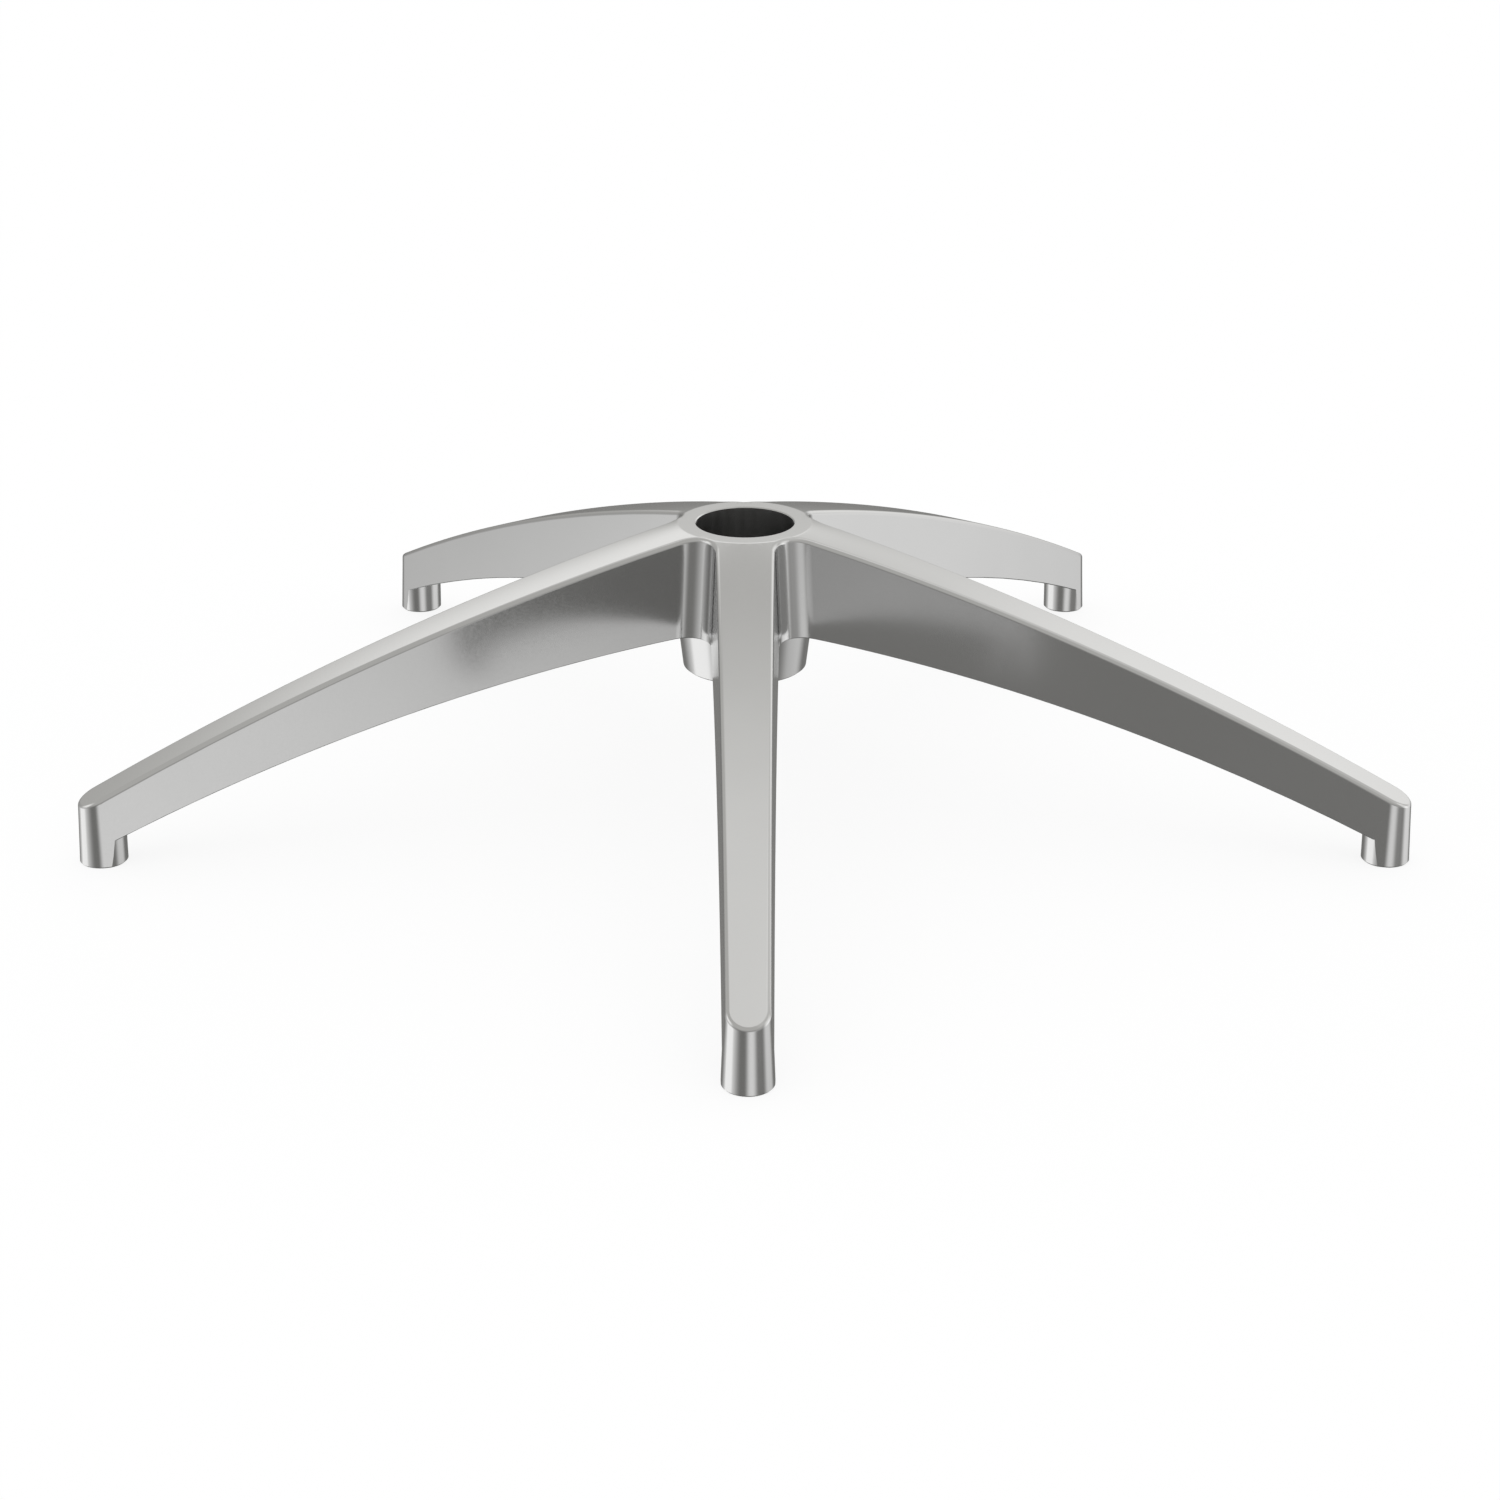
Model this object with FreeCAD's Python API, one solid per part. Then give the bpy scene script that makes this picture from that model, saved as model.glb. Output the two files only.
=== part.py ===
import FreeCAD, Part
import math
import os

# Five-star base of an office chair: one die casting, a tapered hub with five drafted, hollow legs.
# Millimetres and degrees. The origin is the middle of the bore's mouth in the hub's top face, +Z up.

# Overall sizes
leg_count = 5
front_leg_angle = -90.0
caster_radius = 330.0
overall_height = 140.0

# Star outline seen from above: round tips at the floor, hollow corners of one radius, leaning walls
tip_radius = 11.5
corner_radius = 14.2
leg_taper = 1.9
wall_draft = 2.7

# Upper curve of the legs: an arc from the hub's flat ring, measured again over the caster axis
ring_radius = 34.0
ring_blend = 5.0
crown_radius = 1570.0
crown_tip_height = 35.8
top_edge_round = 2.4

# Lower curve of the legs: an arc from the hub, measured again over the caster axis
arch_start_radius = 40.0
arch_start_height = 88.2
arch_radius = 1050.0
arch_tip_height = 11.5
lower_edge_break = 0.5

# Hub: a skirt that narrows downwards round the gas column's taper seat and a straight relief bore
hub_depth = 76.0
skirt_radius = 31.4
skirt_draft = 7.0
skirt_edge_break = 0.8
seat_mouth_radius = 24.7
seat_half_angle = 1.4378
seat_depth = 56.0
seat_mouth_break = 0.5

# Caster bosses: each narrows downwards and holds a blind socket for a grip-ring stem
boss_radius = 11.8
boss_draft = 1.0
boss_edge_break = 0.7
socket_radius = 5.5
socket_depth = 24.0

# Hollow underside: an open channel in each leg, crossed by plates
side_wall = 4.0
roof_wall = 5.0
plate_count = 2
plate_wall = 3.0
plate_recess = 7.0

# How far a cutting shape runs past what it cuts, and how near counts as touching
overrun = 5.0
touch = 0.001

floor = -overall_height
hub_bottom = -hub_depth
under_floor = floor - overrun
outer_reach = caster_radius + tip_radius + overrun
pitch = 360.0 / leg_count
corner_angle = front_leg_angle + pitch / 2
leg_angles = [front_leg_angle + pitch * number for number in range(leg_count)]
hub_axis = FreeCAD.Vector(0, 0, 1)
origin = FreeCAD.Vector()


def sine(degrees):
    return math.sin(math.radians(degrees))


def tangent(degrees):
    return math.tan(math.radians(degrees))


def polar(radius, degrees, z=0.0):
    """A point or direction at an angle round the hub axis."""
    angle = math.radians(degrees)
    return FreeCAD.Vector(radius * math.cos(angle), radius * math.sin(angle), z)


class SectionArc:
    """An arc through two points (radius from the hub axis, z) of the section, bulging upwards."""

    def __init__(self, inner, outer, radius):
        run = outer[0] - inner[0]
        rise = outer[1] - inner[1]
        chord = math.hypot(run, rise)
        drop = math.sqrt(radius ** 2 - (chord / 2) ** 2)
        self.radius = radius
        self.centre_r = (inner[0] + outer[0]) / 2 + drop * rise / chord
        self.centre_z = (inner[1] + outer[1]) / 2 - drop * run / chord

    def z(self, r, below=0.0):
        """Height of the arc, or of one that runs parallel to it below."""
        return self.centre_z + math.sqrt((self.radius - below) ** 2 - (r - self.centre_r) ** 2)

    def edge(self, start, end):
        """The arc between two radii, as an edge in the XZ plane."""
        points = [FreeCAD.Vector(r, 0, self.z(r)) for r in (start, (start + end) / 2, end)]
        return Part.Arc(*points).toShape()


crown = SectionArc((ring_radius, 0.0), (caster_radius, floor + crown_tip_height), crown_radius)
arch = SectionArc((arch_start_radius, floor + arch_start_height), (caster_radius, floor + arch_tip_height),
                  arch_radius)


def star_outline(z, inset=0.0):
    """Closed outline of the star at a height: for each leg a wall, its tip, a wall and a hollow corner."""
    shrink = (z - floor) * tangent(wall_draft) + inset
    tip = tip_radius - shrink
    corner = corner_radius + inset
    wall_offset = caster_radius * sine(leg_taper) + tip
    corner_middle = (wall_offset + corner) / sine(pitch / 2 + leg_taper)
    edges = []
    for angle in leg_angles:
        tip_centre = polar(caster_radius, angle, z)
        corner_before = polar(corner_middle, angle - pitch / 2, z)
        corner_after = polar(corner_middle, angle + pitch / 2, z)
        right = polar(1.0, angle - 90.0 + leg_taper)
        left = polar(1.0, angle + 90.0 - leg_taper)
        next_right = polar(1.0, angle + pitch - 90.0 + leg_taper)
        wall_start = corner_before - right * corner
        tip_right = tip_centre + right * tip
        tip_end = polar(caster_radius + tip, angle, z)
        tip_left = tip_centre + left * tip
        wall_end = corner_after - left * corner
        corner_bottom = polar(corner_middle - corner, angle + pitch / 2, z)
        next_start = corner_after - next_right * corner
        edges.append(Part.LineSegment(wall_start, tip_right).toShape())
        edges.append(Part.Arc(tip_right, tip_end, tip_left).toShape())
        edges.append(Part.LineSegment(tip_left, wall_end).toShape())
        edges.append(Part.Arc(wall_end, corner_bottom, next_start).toShape())
    return Part.Wire(edges)


def drafted_star(inset=0.0):
    """The star outline carried from the floor to above the hub top, leaning in with the walls' draft."""
    return Part.makeLoft([star_outline(floor, inset), star_outline(overrun, inset)], True, True)


def line(start, end):
    """A straight edge between two section points (radius, z) in the XZ plane."""
    return Part.LineSegment(FreeCAD.Vector(start[0], 0, start[1]), FreeCAD.Vector(end[0], 0, end[1])).toShape()


def revolved(edges):
    """A closed section turned about the hub axis, with its seam in a corner between two legs."""
    section = Part.Face(Part.Wire(edges))
    section.rotate(origin, hub_axis, corner_angle)
    return section.revolve(origin, hub_axis, 360)


def below_curve(top_edges):
    """The solid of revolution below a curve that runs from the hub axis out past the tips."""
    first = top_edges[0].Vertexes[0].Point
    last = top_edges[-1].Vertexes[-1].Point
    down = line((last.x, last.z), (last.x, under_floor))
    back = line((last.x, under_floor), (0.0, under_floor))
    up = line((0.0, under_floor), (0.0, first.z))
    return revolved(top_edges + [down, back, up])


def edge_middle(edge):
    return edge.valueAt((edge.FirstParameter + edge.LastParameter) / 2)


def edges_between(solid, first, second):
    """Edges of a solid that lie on the faces of two others."""
    found = []
    for edge in solid.Edges:
        middle = Part.Vertex(edge_middle(edge))
        if middle.distToShape(first.Shells[0])[0] < touch and middle.distToShape(second.Shells[0])[0] < touch:
            found.append(edge)
    return found


def circles(solid, radius, z):
    """Round edges of a solid about the hub axis."""
    found = []
    for edge in solid.Edges:
        middle = edge_middle(edge)
        if abs(middle.z - z) < touch and abs(math.hypot(middle.x, middle.y) - radius) < touch:
            found.append(edge)
    return found


def boss_end_edges(solid):
    """Outer edges of the boss ends on the floor."""
    centres = [polar(caster_radius, angle, floor) for angle in leg_angles]
    found = []
    for edge in solid.Edges:
        middle = edge_middle(edge)
        off_axis = min(middle.distanceToPoint(centre) for centre in centres)
        if abs(middle.z - floor) < touch and off_axis > (tip_radius + socket_radius) / 2:
            found.append(edge)
    return found


def crown_tool():
    """Everything below the hub's flat ring and the legs' upper curve, with a soft crease between them."""
    sharp = below_curve([line((0.0, 0.0), (ring_radius, 0.0)), crown.edge(ring_radius, outer_reach)])
    return sharp.makeFillet(ring_blend, circles(sharp, ring_radius, 0.0))


def drafted_core(radius, draft, base):
    """A round core that widens upwards from a base point to the hub top's height."""
    height = -base.z
    return Part.makeCone(radius, radius + height * tangent(draft), height, base)


def cores():
    """The hub and the caster bosses, each carried up through the casting."""
    bosses = [drafted_core(boss_radius, boss_draft, polar(caster_radius, angle, floor)) for angle in leg_angles]
    return [drafted_core(skirt_radius, skirt_draft, FreeCAD.Vector(0, 0, hub_bottom))] + bosses


def plate_positions():
    """Radii of the plates across a channel, spaced evenly between hub and boss."""
    spacing = (caster_radius - boss_radius - skirt_radius) / (plate_count + 1)
    return [skirt_radius + spacing * (number + 1) for number in range(plate_count)]


def channel_plates():
    """Plates across each leg's channel, their lower edges set back from the arch."""
    width = 2 * tip_radius + 2 * caster_radius * tangent(leg_taper)
    plates = []
    for along in plate_positions():
        low = arch.z(along) + plate_recess
        for angle in leg_angles:
            plate = Part.makeBox(plate_wall, width, -low, FreeCAD.Vector(along - plate_wall / 2, -width / 2, low))
            plate.rotate(origin, hub_axis, angle)
            plates.append(plate)
    return plates


def below_roofs():
    """Everything below the channels' roofs, which run straight from plate to plate under the crown."""
    stops = [0.0] + plate_positions() + [outer_reach]
    points = [(radius, crown.z(radius, roof_wall)) for radius in stops]
    return below_curve([line(start, end) for start, end in zip(points, points[1:])])


def channels():
    """The hollows of the legs: the star set in by the walls, under the roofs, between hub, plates and boss."""
    return drafted_star(side_wall).common(below_roofs()).cut(cores() + channel_plates())


def column_bore():
    """The gas column's taper seat, narrowing downwards, and the straight relief bore below it."""
    relief_radius = seat_mouth_radius - seat_depth * tangent(seat_half_angle)
    section = [(0.0, overrun), (0.0, hub_bottom - overrun), (relief_radius, hub_bottom - overrun),
               (relief_radius, -seat_depth), (seat_mouth_radius, 0.0), (seat_mouth_radius, overrun)]
    return revolved([line(start, end) for start, end in zip(section, section[1:] + section[:1])])


def caster_socket(angle):
    """A blind socket for a caster stem."""
    return Part.makeCylinder(socket_radius, socket_depth, polar(caster_radius, angle, floor))


def only_solid(shape):
    (solid,) = shape.Solids
    return solid


def star_base():
    """The whole casting: the rounded star, arched and hollowed from below, then bored and edge-broken."""
    star = drafted_star()
    crown_shape = crown_tool()
    arch_shape = below_curve([arch.edge(0.0, outer_reach)])
    casting = only_solid(star.common(crown_shape))
    casting = casting.makeFillet(top_edge_round, edges_between(casting, star, crown_shape))
    casting = casting.cut(arch_shape.cut(cores())).cut(channels())
    casting = only_solid(casting.cut([column_bore()] + [caster_socket(angle) for angle in leg_angles]))
    casting = casting.makeChamfer(lower_edge_break, edges_between(casting, star, arch_shape))
    casting = casting.makeChamfer(boss_edge_break, boss_end_edges(casting))
    casting = casting.makeChamfer(skirt_edge_break, circles(casting, skirt_radius, hub_bottom))
    casting = casting.makeChamfer(seat_mouth_break, circles(casting, seat_mouth_radius, 0.0))
    return only_solid(casting)


os.makedirs("parts", exist_ok=True)
star_base().exportStep("parts/star_base.step")
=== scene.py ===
"""Looks of a polished die-cast five-star chair base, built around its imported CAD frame."""

import logging
import math
from collections.abc import Iterable
from dataclasses import dataclass, field
from enum import Enum

import bpy
import numpy as np
from mathutils import Euler, Matrix, Vector


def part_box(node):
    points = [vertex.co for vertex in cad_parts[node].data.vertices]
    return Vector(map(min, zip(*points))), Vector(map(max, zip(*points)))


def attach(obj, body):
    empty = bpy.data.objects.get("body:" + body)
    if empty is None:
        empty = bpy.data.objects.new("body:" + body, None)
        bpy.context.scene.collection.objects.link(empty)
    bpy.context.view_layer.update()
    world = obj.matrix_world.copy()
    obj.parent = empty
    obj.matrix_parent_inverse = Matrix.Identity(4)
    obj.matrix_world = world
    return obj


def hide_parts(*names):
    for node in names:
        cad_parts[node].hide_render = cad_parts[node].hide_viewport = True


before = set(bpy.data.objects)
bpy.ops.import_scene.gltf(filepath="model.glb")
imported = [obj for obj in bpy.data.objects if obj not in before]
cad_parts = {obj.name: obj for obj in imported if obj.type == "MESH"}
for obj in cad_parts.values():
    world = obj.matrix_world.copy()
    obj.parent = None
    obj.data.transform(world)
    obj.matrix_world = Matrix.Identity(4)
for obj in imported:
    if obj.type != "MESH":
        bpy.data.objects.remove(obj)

MM = 0.001
DRAWN = "drawn_surface"
LOG = logging.getLogger("star_base")

# The sRGB curve
BYTE_FULL = 255
KNEE = 0.04045
KNEE_SLOPE = 12.92
LIFT = 0.055
GAMMA = 2.4

# Node types that come up often, and the sockets of a Mix node that mixes colours
MATH = "ShaderNodeMath"
RAMP = "ShaderNodeMapRange"
MIX_FROM = 6
MIX_TO = 7
MIX_RESULT = 2


class Surface(Enum):
    """How an area of the casting was finished; the value is its material slot on the piece."""

    POLISHED = 0
    AS_CAST = 1
    MACHINED = 2


def linear(hex_colour: str) -> tuple[float, float, float, float]:
    """Turn an sRGB hex colour into linear RGBA.

    Args:
        hex_colour: six hex digits with a leading hash.

    Returns:
        Linear red, green, blue and an alpha of one.
    """
    shares = [int(hex_colour[start:start + 2], 16) / BYTE_FULL for start in (1, 3, 5)]
    red, green, blue = [share / KNEE_SLOPE if share <= KNEE else ((share + LIFT) / (1 + LIFT)) ** GAMMA
                        for share in shares]
    return red, green, blue, 1.0


def per_metre(size_mm: float) -> float:
    """Texture scale that gives a pattern this real size in millimetres on Object coordinates."""
    return 1.0 / (size_mm * MM)


def add_node(tree: bpy.types.NodeTree, kind: str, settings: dict[str | int, object] | None = None,
             **links: bpy.types.NodeSocket) -> bpy.types.Node:
    """Add one shader node, set its properties and sockets, and link its inputs.

    Args:
        tree: node tree that gets the node.
        kind: Blender's name of the node type.
        settings: properties by name, or input sockets by name or number.
        links: output sockets to link, by input name with underscores for spaces, or i0, i1 for numbers.

    Returns:
        The new node.
    """
    node = tree.nodes.new(kind)
    for name, value in (settings or {}).items():
        if isinstance(name, str) and hasattr(node, name):
            setattr(node, name, value)
        else:
            node.inputs[name].default_value = value
    for name, output in links.items():
        key = int(name[1:]) if name[0] == "i" and name[1:].isdigit() else name.replace("_", " ")
        tree.links.new(output, node.inputs[key])
    return node


@dataclass(frozen=True)
class CastAluminium:
    """One finish of the aluminium casting.

    The metal mirrors its surroundings; polishing decides how sharply. Slow waves left by the casting and the
    polishing wheel bend the mirrored edges a little, and the grain is what stays rough between them.
    """

    name: str
    light: str
    dark: str
    roughness: float
    roughness_spread: float
    patch_mm: float
    grain_mm: float
    grain_depth_mm: float
    wave_mm: float
    wave_depth_mm: float
    stretch: tuple[float, float, float] = (1.0, 1.0, 1.0)
    patch_detail: float = 3.0
    grain_detail: float = 4.0
    wave_detail: float = 1.0
    noise_span: tuple[float, float] = (0.3, 0.7)

    def material(self) -> bpy.types.Material:
        """Build the node material of this finish.

        Returns:
            The new material.
        """
        material = bpy.data.materials.new(self.name)
        material.use_nodes = True
        tree = material.node_tree
        tree.nodes.clear()
        place = add_node(tree, "ShaderNodeTexCoord").outputs["Object"]
        stretched = add_node(tree, "ShaderNodeMapping", {"Scale": self.stretch},
                             Vector=place).outputs["Vector"]
        patches, grain, waves = [
            add_node(tree, "ShaderNodeTexNoise", {"Scale": per_metre(size_mm), "Detail": detail},
                     Vector=where).outputs["Fac"]
            for size_mm, detail, where in ((self.patch_mm, self.patch_detail, place),
                                           (self.grain_mm, self.grain_detail, stretched),
                                           (self.wave_mm, self.wave_detail, place))]
        colour = add_node(tree, "ShaderNodeMix",
                          {"data_type": "RGBA", MIX_FROM: linear(self.dark), MIX_TO: linear(self.light)},
                          i0=patches).outputs[MIX_RESULT]
        rough = add_node(tree, RAMP,
                         {"From Min": self.noise_span[0], "From Max": self.noise_span[1],
                          "To Min": self.roughness - self.roughness_spread,
                          "To Max": self.roughness + self.roughness_spread}, Value=grain).outputs["Result"]
        wavy = add_node(tree, "ShaderNodeBump", {"Strength": 1.0, "Distance": self.wave_depth_mm * MM},
                        Height=waves).outputs["Normal"]
        bumpy = add_node(tree, "ShaderNodeBump", {"Strength": 1.0, "Distance": self.grain_depth_mm * MM},
                         Height=grain, Normal=wavy).outputs["Normal"]
        shader = add_node(tree, "ShaderNodeBsdfPrincipled", {"Metallic": 1.0}, Base_Color=colour,
                          Roughness=rough, Normal=bumpy).outputs["BSDF"]
        add_node(tree, "ShaderNodeOutputMaterial", Surface=shader)
        return material


# The real grains are finer than a picture shows, so each is drawn as coarse as it needs to show
FINISHES: dict[Surface, CastAluminium] = {
    # Wheel-polished cast aluminium: a soft mirror with a faint haze
    Surface.POLISHED: CastAluminium(
        name="polished_cast_aluminium", light="#D6D6D6", dark="#D0D0D0",
        roughness=0.15, roughness_spread=0.02, patch_mm=60.0,
        grain_mm=1.2, grain_depth_mm=0.0002, wave_mm=25.0, wave_depth_mm=0.0008),
    # Cast aluminium straight from the die: a dull grey skin with a fine grain
    Surface.AS_CAST: CastAluminium(
        name="as_cast_aluminium", light="#BEBFBE", dark="#ABADAD",
        roughness=0.44, roughness_spread=0.06, patch_mm=18.0,
        grain_mm=0.9, grain_depth_mm=0.03, wave_mm=9.0, wave_depth_mm=0.02),
    # Reamed aluminium: a smooth, darker wall with faint upright streaks where the tool was drawn out
    Surface.MACHINED: CastAluminium(
        name="reamed_aluminium", light="#AEAEAE", dark="#A6A6A6",
        roughness=0.32, roughness_spread=0.03, patch_mm=40.0,
        grain_mm=2.5, grain_depth_mm=0.001, wave_mm=25.0, wave_depth_mm=0.001, stretch=(1.0, 1.0, 0.03)),
}


@dataclass(frozen=True)
class CastingForm:
    """The casting's surfaces as its maker draws them, for points given as rows. Millimetres and degrees."""

    leg_count: int = 5
    front_leg_angle: float = -90.0
    caster_radius: float = 330.0
    height: float = 140.0
    tip_radius: float = 11.5
    corner_radius: float = 14.2
    leg_taper: float = 1.9
    wall_draft: float = 2.7
    ring_radius: float = 34.0
    ring_blend: float = 5.0
    crown_radius: float = 1570.0
    crown_tip_height: float = 35.8
    top_edge_round: float = 2.4
    hub_depth: float = 76.0
    skirt_radius: float = 31.4
    skirt_draft: float = 7.0
    seat_mouth_radius: float = 24.7
    seat_mouth_break: float = 0.5
    mouth_lean: float = 45.0
    seat_half_angle: float = 1.4378
    seat_depth: float = 56.0
    boss_radius: float = 11.8
    boss_draft: float = 1.0
    socket_radius: float = 5.5
    socket_depth: float = 24.0
    touch: float = 0.001

    def in_leg(self, places: np.ndarray) -> tuple[np.ndarray, np.ndarray, np.ndarray]:
        """Find each point's nearest leg.

        Args:
            places: points.

        Returns:
            The leg's direction as an angle in radians, and the run along and across that leg.
        """
        pitch = 2 * math.pi / self.leg_count
        front = math.radians(self.front_leg_angle)
        angle = np.arctan2(places[:, 1], places[:, 0])
        leg = front + pitch * np.round((angle - front) / pitch)
        radius = np.hypot(places[:, 0], places[:, 1])
        return leg, radius * np.cos(angle - leg), radius * np.sin(angle - leg)

    def lengths(self, arms: np.ndarray) -> np.ndarray:
        """Lengths of some arms as a column, never quite zero."""
        return np.maximum(np.linalg.norm(arms, axis=1), self.touch)[:, None]

    def top(self, places: np.ndarray) -> tuple[np.ndarray, np.ndarray]:
        """Follow the hub's flat ring, the soft crease round it and the legs' upper arc.

        Args:
            places: points.

        Returns:
            Outward directions, and how far each point lies below the surface.
        """
        run = self.caster_radius - self.ring_radius
        rise = self.crown_tip_height - self.height
        chord = math.hypot(run, rise)
        drop = math.sqrt(self.crown_radius ** 2 - (chord / 2) ** 2)
        centre = np.array([(self.caster_radius + self.ring_radius) / 2 + drop * rise / chord,
                           rise / 2 - drop * run / chord])
        inner = self.crown_radius - self.ring_blend
        blend_run = math.sqrt(inner ** 2 - (self.ring_blend + centre[1]) ** 2)
        blend = np.array([centre[0] + blend_run, -self.ring_blend])
        radius = np.hypot(places[:, 0], places[:, 1])
        section = np.column_stack([radius, places[:, 2]])
        on_arc = (section - blend) @ np.array([blend[1] - centre[1], centre[0] - blend[0]]) > 0
        pivot = np.where(on_arc[:, None], centre, blend)
        reach = np.where(on_arc, self.crown_radius, self.ring_blend)
        length = self.lengths(section - pivot)
        lean = (section - pivot) / length
        depth = reach - length[:, 0]
        flat = radius < blend[0]
        lean[flat] = (0.0, 1.0)
        depth[flat] = -places[flat, 2]
        outward = places[:, :2] / np.maximum(radius, self.touch)[:, None]
        return np.column_stack([outward * lean[:, :1], lean[:, 1]]), depth

    def wall(self, places: np.ndarray) -> tuple[np.ndarray, np.ndarray]:
        """Follow the star's leaning walls, round tips and hollow corners.

        Args:
            places: points.

        Returns:
            Outward directions, and how far each point lies inside the surface.
        """
        taper, draft, half = (math.radians(value) for value in
                              (self.leg_taper, self.wall_draft, 180.0 / self.leg_count))
        leg, run, side = self.in_leg(places)
        spot = np.column_stack([run, np.abs(side)])
        tip = self.tip_radius - (places[:, 2] + self.height) * math.tan(draft)
        offset = self.caster_radius * math.sin(taper) + tip
        across = np.array([math.sin(taper), math.cos(taper)])
        along = spot @ np.array([math.cos(taper), -math.sin(taper)])
        normal = np.tile(across, (len(spot), 1))
        depth = offset - spot @ across
        lean = np.full(len(spot), math.tan(draft))
        arm = spot - (self.caster_radius, 0.0)
        at_tip = along > self.caster_radius * math.cos(taper)
        normal[at_tip] = (arm / self.lengths(arm))[at_tip]
        depth[at_tip] = (tip - self.lengths(arm)[:, 0])[at_tip]
        outward = np.array([math.cos(half), math.sin(half)])
        middle = (offset + self.corner_radius) / math.sin(half + taper)
        arm = middle[:, None] * outward - spot
        at_corner = along < middle * math.cos(half + taper)
        normal[at_corner] = (arm / self.lengths(arm))[at_corner]
        depth[at_corner] = (self.lengths(arm)[:, 0] - self.corner_radius)[at_corner]
        lean[at_corner] *= (normal @ outward)[at_corner] / math.sin(half + taper)
        sideways = np.where(side < 0, -normal[:, 1], normal[:, 1])
        level = np.column_stack([normal[:, 0] * np.cos(leg) - sideways * np.sin(leg),
                                 normal[:, 0] * np.sin(leg) + sideways * np.cos(leg), lean])
        return level / self.lengths(level), depth / self.lengths(level)[:, 0]

    def skin(self, places: np.ndarray) -> tuple[np.ndarray, np.ndarray]:
        """Follow the outer skin: walls and top with the rolling round between them.

        Args:
            places: points.

        Returns:
            Outward directions, and how far outward each point is from the surface.
        """
        wall, wall_depth = self.wall(places)
        top, top_depth = self.top(places)
        meet = np.sum(wall * top, axis=1)
        wall_reach = self.top_edge_round - wall_depth
        top_reach = self.top_edge_round - top_depth
        wall_share = (wall_reach - meet * top_reach) / (1 - meet ** 2)
        top_share = (top_reach - meet * wall_reach) / (1 - meet ** 2)
        arm = wall_share[:, None] * wall + top_share[:, None] * top
        normal = arm / self.lengths(arm)
        gap = self.top_edge_round - self.lengths(arm)[:, 0]
        on_wall = (top_share <= 0) & (wall_share > top_share)
        on_top = (wall_share <= 0) & ~on_wall
        normal[on_wall], gap[on_wall] = wall[on_wall], wall_depth[on_wall]
        normal[on_top], gap[on_top] = top[on_top], top_depth[on_top]
        return normal, gap

    def turned(self, places: np.ndarray, axis: np.ndarray, radii: np.ndarray | float, lean: float,
               hole: bool) -> tuple[np.ndarray, np.ndarray]:
        """Follow a round face about an upright axis.

        Args:
            places: points.
            axis: X and Y of each one's axis.
            radii: radius of the face at each point's height.
            lean: angle that the face looks up by.
            hole: whether the face is a hole's wall.

        Returns:
            Outward directions, and how far outward each point is from the surface.
        """
        arm = places[:, :2] - axis
        outward = -1.0 if hole else 1.0
        level = outward * math.cos(math.radians(lean))
        rising = np.full(len(arm), math.sin(math.radians(lean)))
        length = self.lengths(arm)
        return np.column_stack([arm / length * level, rising]), (radii - length[:, 0]) * level

    def surfaces(self, places: np.ndarray) -> list[tuple[np.ndarray, np.ndarray]]:
        """Follow every drawn surface in turn.

        Args:
            places: points.

        Returns:
            Directions and gaps for the skin, hub skirt, bore mouth, taper seat, relief bore, bosses and
            sockets.
        """
        leg = self.in_leg(places)[0]
        z = places[:, 2]
        hub = np.zeros((len(places), 2))
        caster = np.column_stack([np.cos(leg), np.sin(leg)]) * self.caster_radius
        skirt = self.skirt_radius + (z + self.hub_depth) * math.tan(math.radians(self.skirt_draft))
        mouth = self.seat_mouth_radius + self.seat_mouth_break + z
        narrowing = math.tan(math.radians(self.seat_half_angle))
        boss = self.boss_radius + (z + self.height) * math.tan(math.radians(self.boss_draft))
        return [self.skin(places),
                self.turned(places, hub, skirt, -self.skirt_draft, False),
                self.turned(places, hub, mouth, self.mouth_lean, True),
                self.turned(places, hub, self.seat_mouth_radius + z * narrowing, self.seat_half_angle, True),
                self.turned(places, hub, self.seat_mouth_radius - self.seat_depth * narrowing, 0.0, True),
                self.turned(places, caster, boss, -self.boss_draft, False),
                self.turned(places, caster, self.socket_radius, 0.0, True)]


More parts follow.
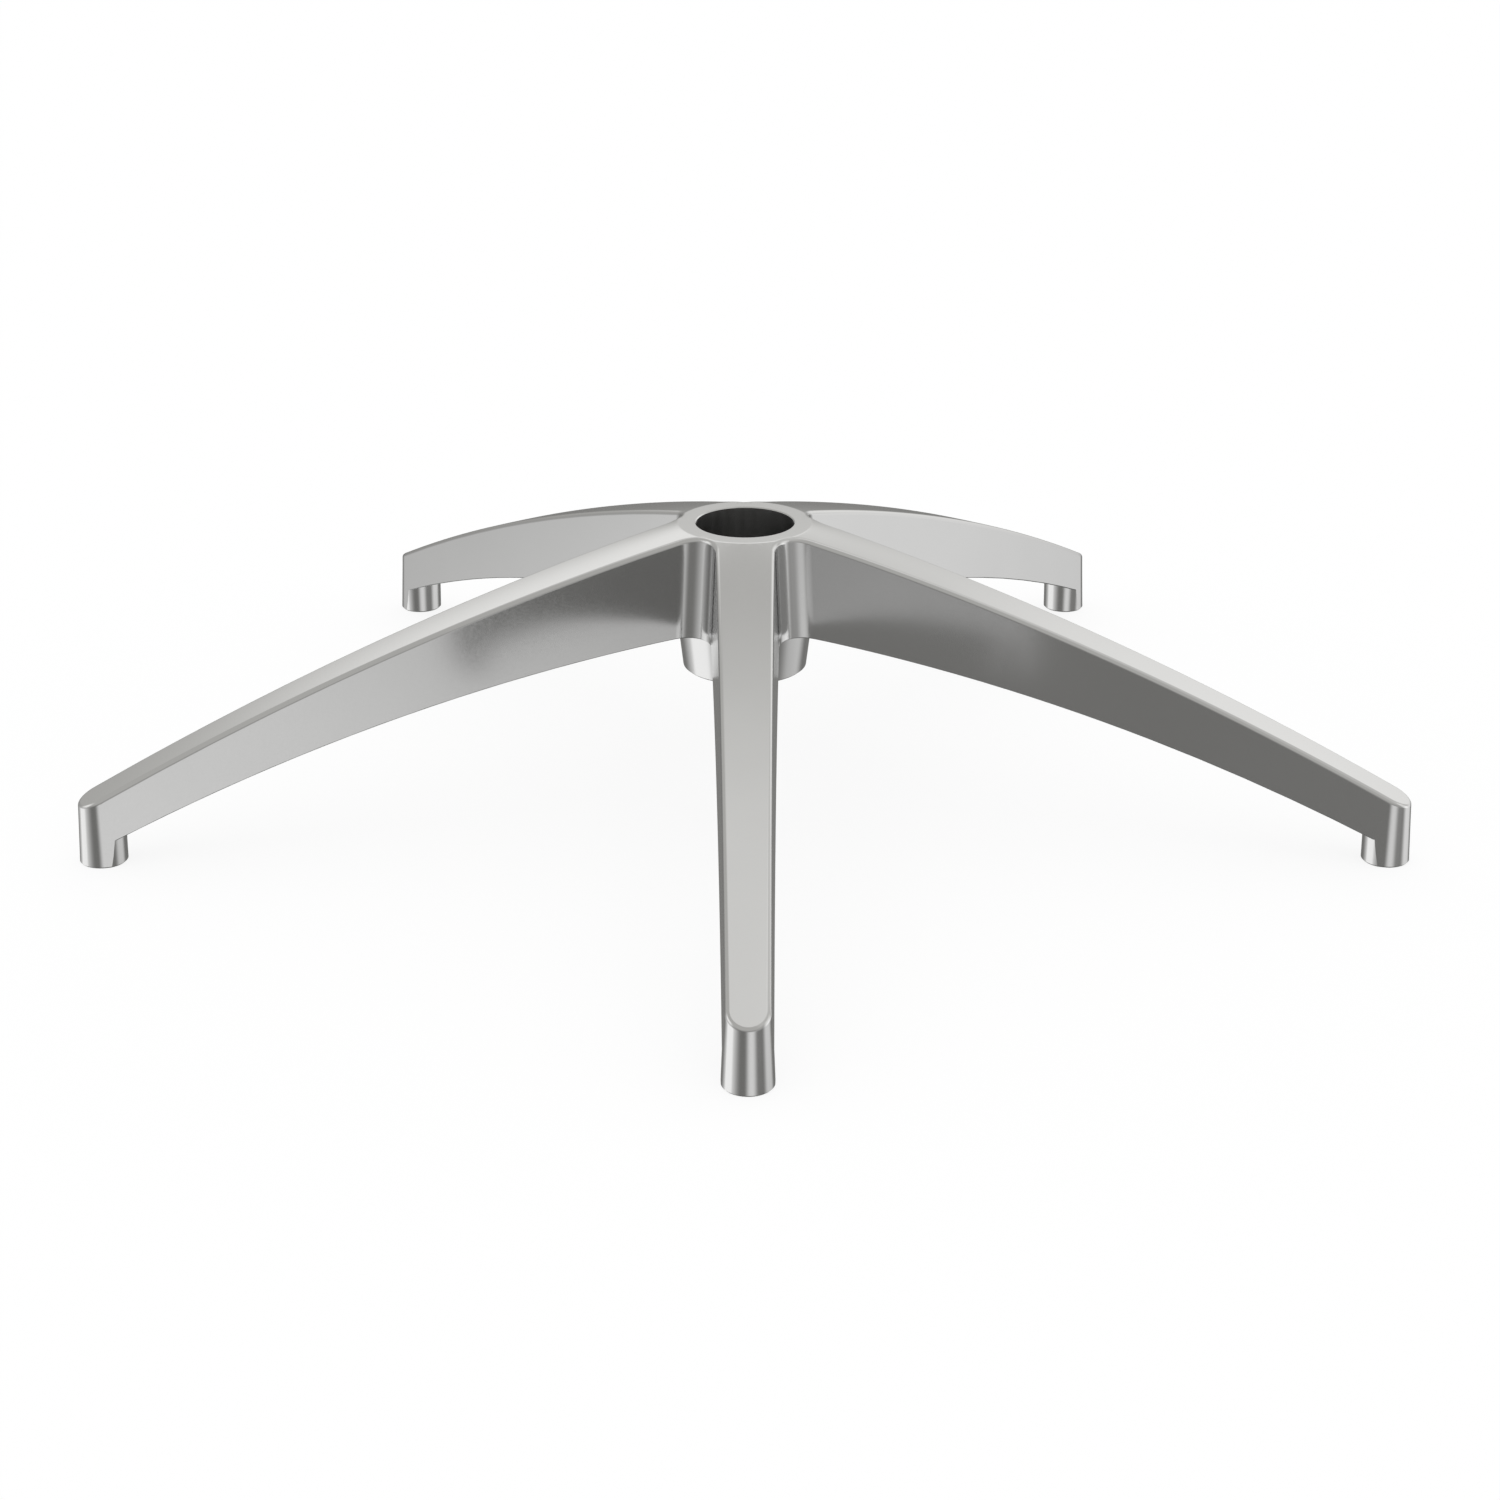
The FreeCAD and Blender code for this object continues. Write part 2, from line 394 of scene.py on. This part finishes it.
@dataclass
class StarBase:
    """The casting: hub, legs and caster bosses in one piece. Millimetres and degrees."""

    node: str = "star_base"
    form: CastingForm = field(default_factory=CastingForm)
    hub_radius: float = 48.0
    channel_half_width: float = 15.0
    weld: float = 0.002
    sharp_angle: float = 30.0
    edge_cuts: int = 1
    match_angle: float = 8.0
    match_gap: float = 0.25
    fitting_rounds: int = 3
    # Share of a face's direction that has to point a way, for the face to count as looking that way
    facing_share: float = 0.5
    piece: bpy.types.Object | None = None

    def build(self) -> bpy.types.Object:
        """Copy the CAD casting, weld its faces into one skin and divide them finely.

        Returns:
            The piece, with each face's drawn surface kept as a number on it.
        """
        bpy.ops.object.select_all(action="DESELECT")
        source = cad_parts[self.node]
        source.select_set(True)
        bpy.context.view_layer.objects.active = source
        bpy.ops.object.duplicate()
        self.piece = bpy.context.view_layer.objects.active
        self.piece.name = "star_base_casting"
        self.piece.parent = None
        bpy.ops.mesh.customdata_custom_splitnormals_clear()
        bpy.ops.object.mode_set(mode="EDIT")
        bpy.ops.mesh.select_all(action="SELECT")
        bpy.ops.mesh.remove_doubles(threshold=self.weld * MM)
        bpy.ops.mesh.faces_shade_smooth()
        bpy.ops.mesh.mark_sharp(clear=True)
        bpy.ops.mesh.select_all(action="DESELECT")
        bpy.ops.mesh.select_mode(type="EDGE")
        bpy.ops.mesh.edges_select_sharp(sharpness=math.radians(self.sharp_angle))
        bpy.ops.mesh.mark_sharp()
        bpy.ops.object.mode_set(mode="OBJECT")
        self.match_surfaces()
        bpy.ops.object.mode_set(mode="EDIT")
        bpy.ops.mesh.select_all(action="SELECT")
        bpy.ops.mesh.subdivide(number_cuts=self.edge_cuts)
        bpy.ops.object.mode_set(mode="OBJECT")
        return self.piece

    def face_rows(self) -> tuple[np.ndarray, np.ndarray]:
        """Read the faces' middles in millimetres and their directions."""
        faces = self.piece.data.polygons
        return (np.array([face.center for face in faces], float) / MM,
                np.array([face.normal for face in faces], float))

    def match_surfaces(self) -> None:
        """Note on each face which drawn surface it lies on, or -1 for none."""
        middles, normals = self.face_rows()
        likeness = []
        for directions, gaps in self.form.surfaces(middles):
            agreement = np.sum(directions * normals, axis=1)
            likeness.append(np.where(np.abs(gaps) < self.match_gap, agreement, -1.0))
        best = np.argmax(likeness, axis=0)
        best[np.max(likeness, axis=0) < math.cos(math.radians(self.match_angle))] = -1
        note = self.piece.data.attributes.new(DRAWN, "INT", "FACE")
        note.data.foreach_set("value", best.astype(np.int32))

    def refine(self) -> int:
        """Move the finely divided skin onto the drawn surfaces and shade it as they run.

        Returns:
            How many face corners are shaded as drawn.
        """
        mesh = self.piece.data
        low, high = (np.array(corner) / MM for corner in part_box(self.node))
        places = np.array([vertex.co for vertex in mesh.vertices], float) / MM
        corner_vertex = np.array([loop.vertex_index for loop in mesh.loops])
        drawn = np.empty(len(mesh.polygons), np.int32)
        mesh.attributes[DRAWN].data.foreach_get("value", drawn)
        corner_drawn = np.repeat(drawn, [face.loop_total for face in mesh.polygons])
        kinds = range(drawn.max() + 1)
        for _ in range(self.fitting_rounds):
            for kind in kinds:
                touched = np.unique(corner_vertex[corner_drawn == kind])
                directions, gaps = self.form.surfaces(places[touched])[kind]
                places[touched] = np.clip(places[touched] + directions * gaps[:, None], low, high)
        mesh.vertices.foreach_set("co", (places * MM).ravel())
        mesh.attributes.remove(mesh.attributes[DRAWN])
        mesh.update()
        smooth = self.piece.modifiers.new("even_shading", "WEIGHTED_NORMAL")
        smooth.mode = "FACE_AREA"
        smooth.keep_sharp = True
        bpy.ops.object.modifier_apply(modifier=smooth.name)
        normals = np.array([normal.vector for normal in mesh.corner_normals], float)
        for kind in kinds:
            corners = corner_drawn == kind
            normals[corners] = self.form.surfaces(places[corner_vertex[corners]])[kind][0]
        mesh.normals_split_custom_set(normals.tolist())
        return int(np.sum(corner_drawn >= 0))

    def dress(self) -> None:
        """Give each face its finish: bored holes, rough hollows and polish everywhere else."""
        mesh = self.piece.data
        mesh.materials.clear()
        for surface in Surface:
            mesh.materials.append(FINISHES[surface].material())
        middles, normals = self.face_rows()
        leg, run, side = self.form.in_leg(middles)
        radius = np.hypot(run, side)
        inward = np.sign(side) * (normals[:, 0] * np.sin(leg) - normals[:, 1] * np.cos(leg))
        hollow = (radius > self.hub_radius) & (np.abs(side) < self.channel_half_width)
        hollow &= (normals[:, 2] < -self.facing_share) | (inward > self.facing_share)
        socket = np.hypot(run - self.form.caster_radius, side) < self.form.socket_radius + self.form.touch
        socket &= middles[:, 2] < self.form.socket_depth - self.form.height + self.form.touch
        bore = radius < self.form.seat_mouth_radius + self.form.touch
        bore &= np.abs(normals[:, 2]) < self.facing_share
        finish = np.where(hollow, Surface.AS_CAST.value, Surface.POLISHED.value)
        finish[socket | bore] = Surface.MACHINED.value
        mesh.polygons.foreach_set("material_index", finish.astype(np.int32))
        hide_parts(self.node)
        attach(self.piece, "root")


@dataclass(frozen=True)
class Panel:
    """A soft studio panel far off, by its direction: azimuth 0 in front, positive to the right. Degrees."""

    azimuth: float
    half_width: float
    low: float
    high: float
    strength: float
    softness: float = 14.0


# Upper edge of a panel that runs past the zenith and so has none
OVERHEAD = 120.0


@dataclass
class Studio:
    """White floor and surroundings, and a wide tent of soft panels to mirror. Millimetres and degrees."""

    floor_level: float = -140.05
    floor_width: float = 30000.0
    floor_colour: str = "#FFFFFF"
    shadow_fill: float = 0.85
    world_colour: str = "#FFFFFF"
    world_strength: float = 1.0
    tent_radius: float = 8000.0
    tent_segments: int = 64
    tent_rings: int = 32
    sky_colour: str = "#FFFEFA"
    panel_colour: str = "#FFFFFF"
    sky: float = 0.57
    ground: float = 0.22
    dawn: tuple[float, float] = (-15.0, 25.0)
    depth: tuple[float, float] = (-75.0, -45.0)
    depth_share: float = 0.3
    light_limit: float = 1.02
    panels: list[Panel] = field(default_factory=lambda: [
        # Left: two low ones, the wider one softer, and one above the horizon
        Panel(-92.0, 17.0, -60.0, -16.0, 0.80, 10.0),
        Panel(-90.0, 36.0, -60.0, -8.0, 0.74, 24.0),
        Panel(-84.0, 18.0, 2.0, 36.0, 0.60, 10.0),
        # Front: one low, and a faint one towards the right
        Panel(14.0, 17.0, -60.0, -8.0, 0.70, 13.0),
        Panel(48.0, 16.0, -18.0, 4.0, 0.20, 12.0),
        # Right: one mostly below the horizon and one mostly above it
        Panel(101.0, 24.0, -32.0, 6.0, 0.74),
        Panel(84.0, 18.0, -14.0, 36.0, 0.42, 8.0),
        # Behind: one towards the right, and one higher up
        Panel(142.0, 22.0, -6.0, 34.0, 0.52),
        Panel(-170.0, 21.0, 20.0, 41.0, 0.56, 8.0),
        # Overhead: one from behind and a faint one from the right
        Panel(172.0, 52.0, 58.0, OVERHEAD, 0.32),
        Panel(100.0, 60.0, 30.0, OVERHEAD, 0.11),
    ])

    def build_floor(self) -> bpy.types.Object:
        """Lay a plain white floor under the caster bosses, bright enough that their shadow stays faint.

        Returns:
            The floor.
        """
        bpy.ops.object.select_all(action="DESELECT")
        bpy.ops.mesh.primitive_plane_add(size=self.floor_width * MM, location=(0, 0, self.floor_level * MM))
        floor = bpy.context.object
        floor.name = "floor"
        floor.visible_glossy = False
        material = bpy.data.materials.new("white_paper")
        material.use_nodes = True
        tree = material.node_tree
        tree.nodes.clear()
        white = {"Color": linear(self.floor_colour)}
        paper = add_node(tree, "ShaderNodeBsdfDiffuse", white).outputs["BSDF"]
        bright = add_node(tree, "ShaderNodeEmission", white).outputs["Emission"]
        mixed = add_node(tree, "ShaderNodeMixShader", {"Fac": self.shadow_fill},
                         i1=paper, i2=bright).outputs["Shader"]
        add_node(tree, "ShaderNodeOutputMaterial", Surface=mixed)
        floor.data.materials.append(material)
        return floor

    def panel_light(self, tree: bpy.types.NodeTree, panel: Panel, flat: list[bpy.types.NodeSocket],
                    height: bpy.types.NodeSocket) -> bpy.types.NodeSocket:
        """Work out one panel's light for a direction.

        Args:
            tree: node tree of the tent.
            panel: the panel.
            flat: unit X and Y of the direction seen from above.
            height: the direction's angle above the horizon, in degrees.

        Returns:
            The panel's strength in that direction.
        """
        turn = math.radians(panel.azimuth)
        east = add_node(tree, MATH, {"operation": "MULTIPLY", 1: math.sin(turn)}, i0=flat[0]).outputs[0]
        facing = add_node(tree, MATH, {"operation": "MULTIPLY_ADD", 1: -math.cos(turn)},
                          i0=flat[1], i2=east).outputs[0]
        off = add_node(tree, MATH, {"operation": "ARCCOSINE"}, i0=facing).outputs[0]
        soft = panel.softness
        dark_side, lit_side = (math.radians(panel.half_width + edge) for edge in (soft, -soft))
        across, above, below = [
            add_node(tree, RAMP, {"interpolation_type": "SMOOTHSTEP", "From Min": dark_at, "From Max": lit_at,
                                  "To Max": strength}, Value=angle).outputs[0]
            for angle, dark_at, lit_at, strength in (
                (off, dark_side, lit_side, panel.strength),
                (height, panel.low - soft, panel.low + soft, 1.0),
                (height, panel.high + soft, panel.high - soft, 1.0))]
        band = add_node(tree, MATH, {"operation": "MULTIPLY"}, i0=above, i1=below).outputs[0]
        return add_node(tree, MATH, {"operation": "MULTIPLY"}, i0=across, i1=band).outputs[0]

    def tent_material(self) -> bpy.types.Material:
        """Paint the tent with its panels: dim below, brighter and a little warm above.

        Where panels overlap, their light is limited, so that no flat wall that mirrors them clips to white.

        Returns:
            The glowing material.
        """
        material = bpy.data.materials.new("tent_cloth")
        material.use_nodes = True
        material.cycles.emission_sampling = "NONE"
        tree = material.node_tree
        tree.nodes.clear()
        place = add_node(tree, "ShaderNodeTexCoord").outputs["Object"]
        way = add_node(tree, "ShaderNodeVectorMath", {"operation": "NORMALIZE"}, i0=place).outputs[0]
        ends = add_node(tree, "ShaderNodeSeparateXYZ", Vector=way).outputs
        level = add_node(tree, "ShaderNodeCombineXYZ", X=ends["X"], Y=ends["Y"]).outputs[0]
        unit = add_node(tree, "ShaderNodeVectorMath", {"operation": "NORMALIZE"}, i0=level).outputs[0]
        flat = add_node(tree, "ShaderNodeSeparateXYZ", Vector=unit).outputs
        slope = add_node(tree, MATH, {"operation": "ARCSINE"}, i0=ends["Z"]).outputs[0]
        height = add_node(tree, MATH, {"operation": "DEGREES"}, i0=slope).outputs[0]
        cloth = add_node(tree, RAMP, {"interpolation_type": "SMOOTHSTEP",
                                      "From Min": self.dawn[0], "From Max": self.dawn[1],
                                      "To Min": self.ground, "To Max": self.sky}, Value=height).outputs[0]
        shade = add_node(tree, RAMP, {"From Min": self.depth[0], "From Max": self.depth[1],
                                      "To Min": self.depth_share}, Value=height).outputs[0]
        cloth = add_node(tree, MATH, {"operation": "MULTIPLY"}, i0=cloth, i1=shade).outputs[0]
        lights = [self.panel_light(tree, panel, [flat["X"], flat["Y"]], height) for panel in self.panels]
        total = lights[0]
        for light in lights[1:]:
            total = add_node(tree, MATH, {"operation": "ADD"}, i0=total, i1=light).outputs[0]
        total = add_node(tree, MATH, {"operation": "MINIMUM", 1: self.light_limit}, i0=total).outputs[0]
        warm, bright = [
            add_node(tree, "ShaderNodeEmission", {"Color": linear(colour)}, Strength=strength).outputs[0]
            for colour, strength in ((self.sky_colour, cloth), (self.panel_colour, total))]
        both = add_node(tree, "ShaderNodeAddShader", i0=warm, i1=bright).outputs[0]
        add_node(tree, "ShaderNodeOutputMaterial", Surface=both)
        return material

    def build_tent(self) -> bpy.types.Object:
        """Hang the tent round the casting, where only the metal sees it.

        Returns:
            The tent.
        """
        bpy.ops.object.select_all(action="DESELECT")
        bpy.ops.mesh.primitive_uv_sphere_add(segments=self.tent_segments, ring_count=self.tent_rings,
                                             radius=self.tent_radius * MM)
        tent = bpy.context.object
        tent.name = "tent"
        tent.visible_camera = tent.visible_diffuse = tent.visible_transmission = tent.visible_shadow = False
        tent.data.materials.append(self.tent_material())
        return tent

    def build_world(self) -> bpy.types.World:
        """Surround the scene with plain white.

        Returns:
            The world.
        """
        world = bpy.data.worlds.new("white_surroundings")
        bpy.context.scene.world = world
        world.use_nodes = True
        tree = world.node_tree
        tree.nodes.clear()
        light = add_node(tree, "ShaderNodeBackground", {"Color": linear(self.world_colour),
                                                        "Strength": self.world_strength}).outputs[0]
        add_node(tree, "ShaderNodeOutputWorld", Surface=light)
        return world


@dataclass(frozen=True)
class ViewPoint:
    """Where the picture is taken from. Millimetres and degrees."""

    place: tuple[float, float, float] = (-7.25, -1432.3, 465.6)
    tilt: float = 67.6155
    turn: float = -0.4023
    roll: float = 0.13
    lens: float = 71.542
    sensor: float = 36.0
    farthest: float = 100000.0

    def build(self) -> bpy.types.Object:
        """Set up the camera.

        Returns:
            The camera.
        """
        bpy.ops.object.camera_add(location=Vector(self.place) * MM)
        camera = bpy.context.object
        aim = Euler((math.radians(self.tilt), 0.0, math.radians(self.turn))).to_matrix()
        camera.rotation_euler = (aim @ Matrix.Rotation(math.radians(self.roll), 3, "Z")).to_euler()
        camera.data.lens = self.lens
        camera.data.sensor_width = self.sensor
        camera.data.clip_end = self.farthest * MM
        bpy.context.scene.camera = camera
        return camera


def main() -> None:
    """Build the casting and its studio and report each piece."""
    logging.basicConfig(level=logging.INFO)
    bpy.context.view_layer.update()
    base = StarBase()
    casting = base.build()
    LOG.info("%d face corners shaded as drawn", base.refine())
    base.dress()
    LOG.info("%s: %d faces", casting.name, len(casting.data.polygons))
    studio = Studio()
    for stage in (studio.build_floor(), studio.build_tent(), studio.build_world()):
        LOG.info("stage: %s", stage.name)
    LOG.info("camera: %s", ViewPoint().build().name)
    bpy.context.scene.view_settings.view_transform = "Standard"


if __name__ == "__main__":
    main()
